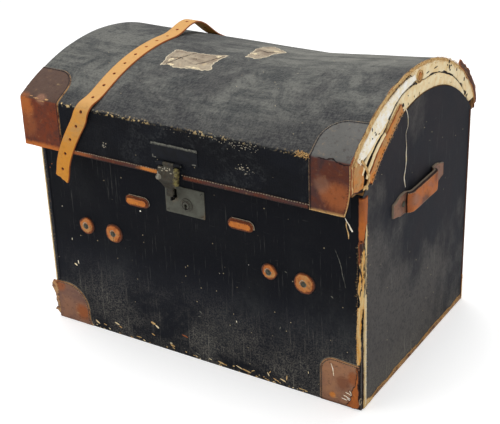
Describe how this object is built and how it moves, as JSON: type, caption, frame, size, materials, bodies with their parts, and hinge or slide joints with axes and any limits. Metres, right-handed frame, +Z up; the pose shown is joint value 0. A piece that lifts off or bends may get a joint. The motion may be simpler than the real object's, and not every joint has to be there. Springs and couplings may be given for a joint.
{
  "type": "dome top trunk",
  "caption": "Canvas-covered travelling trunk with arched ends, a hinged barrel lid, leather corners, carrying handles and a hasp lock.",
  "frame": {"origin": "centre of the underside, on the surface that the trunk stands on", "axes": "+X runs along the trunk towards the end on the right of someone facing the lock, -Y points out of the front, +Z is up"},
  "size_m": [0.8, 0.6032, 0.6422],
  "materials": {
    "board_wood": "bare softwood boards, dull",
    "black_canvas": "coated canvas, nearly black, scuffed",
    "lid_canvas": "coated canvas worn grey on top",
    "lining_cloth": "plain unbleached cotton",
    "brown_leather": "worn brown leather, orange at its edges",
    "worn_leather": "scuffed tan leather",
    "strap_leather": "natural strap leather, smooth",
    "cream_card": "bare layered card, frayed",
    "white_linen": "bare linen, frayed",
    "aged_paper": "torn and stained paper",
    "lock_steel": "dull grey plating, stained",
    "hinge_iron": "dark wrought iron",
    "hasp_brass": "tarnished brass"
  },
  "bodies": {
    "trunk": {"back_board": "board_wood", "back_canvas": "black_canvas", "base_bindings": "worn_leather", "base_board": "board_wood", "body_lining": "lining_cloth", "bottom_corner_back_left": "brown_leather", "bottom_corner_back_right": "brown_leather", "bottom_corner_front_left": "brown_leather", "bottom_corner_front_right": "brown_leather", "corner_binding_back_left": "worn_leather", "corner_binding_back_right": "worn_leather", "corner_binding_front_left": "worn_leather", "corner_binding_front_right": "worn_leather", "end_board_left": "board_wood", "end_board_right": "board_wood", "end_canvas_left": "black_canvas", "end_canvas_right": "black_canvas", "front_board": "board_wood", "front_canvas": "black_canvas", "handle_grip_left": "worn_leather", "handle_grip_right": "worn_leather", "handle_rivets": "hinge_iron", "handle_strap_left": "worn_leather", "handle_strap_right": "worn_leather", "hinge_leaves_body": "hinge_iron", "hinge_pins": "hinge_iron", "hinge_screws_body": "hinge_iron", "keyhole_boss": "lock_steel", "leather_washers": "worn_leather", "lock_case": "lock_steel", "lock_plate": "lock_steel", "lock_screws": "lock_steel", "stitched_tabs": "worn_leather", "washer_rivets": "hinge_iron"},
    "lid": {"back_skirt": "board_wood", "dome_board": "board_wood", "front_skirt": "board_wood", "hasp_mount": "lock_steel", "hasp_pin": "lock_steel", "hinge_leaves_lid": "hinge_iron", "hinge_screws_lid": "hinge_iron", "lid_canvas": "lid_canvas", "lid_corner_back_left": "brown_leather", "lid_corner_back_right": "brown_leather", "lid_corner_front_left": "brown_leather", "lid_corner_front_right": "brown_leather", "lid_edge_binding": "worn_leather", "lid_lining": "lining_cloth", "paper_labels": "aged_paper", "rim_board_left": "board_wood", "rim_board_right": "board_wood", "rim_card_right": "cream_card", "rim_cloth_right": "white_linen", "rim_cover_left": "brown_leather", "rim_strip_right": "worn_leather", "travel_strap": "strap_leather"},
    "hasp": {"hasp": "lock_steel", "hasp_barrel": "hasp_brass", "hasp_staple": "lock_steel"},
    "bolt": {"lock_bolt": "lock_steel"}
  },
  "joints": [
    {"name": "lid_hinge", "type": "hinge", "parent": "trunk", "child": "lid", "pos_m": [0, 0.2794, 0.449], "axis": [-1, 0, 0], "range_deg": [0, 100]},
    {"name": "hasp_hinge", "type": "hinge", "parent": "lid", "child": "hasp", "pos_m": [-0.011, -0.3025, 0.47], "axis": [-1, 0, 0], "range_deg": [-9, 105]},
    {"name": "bolt_throw", "type": "slide", "parent": "trunk", "child": "bolt", "axis": [-1, 0, 0], "range_m": [0, 0.014]}
  ]
}
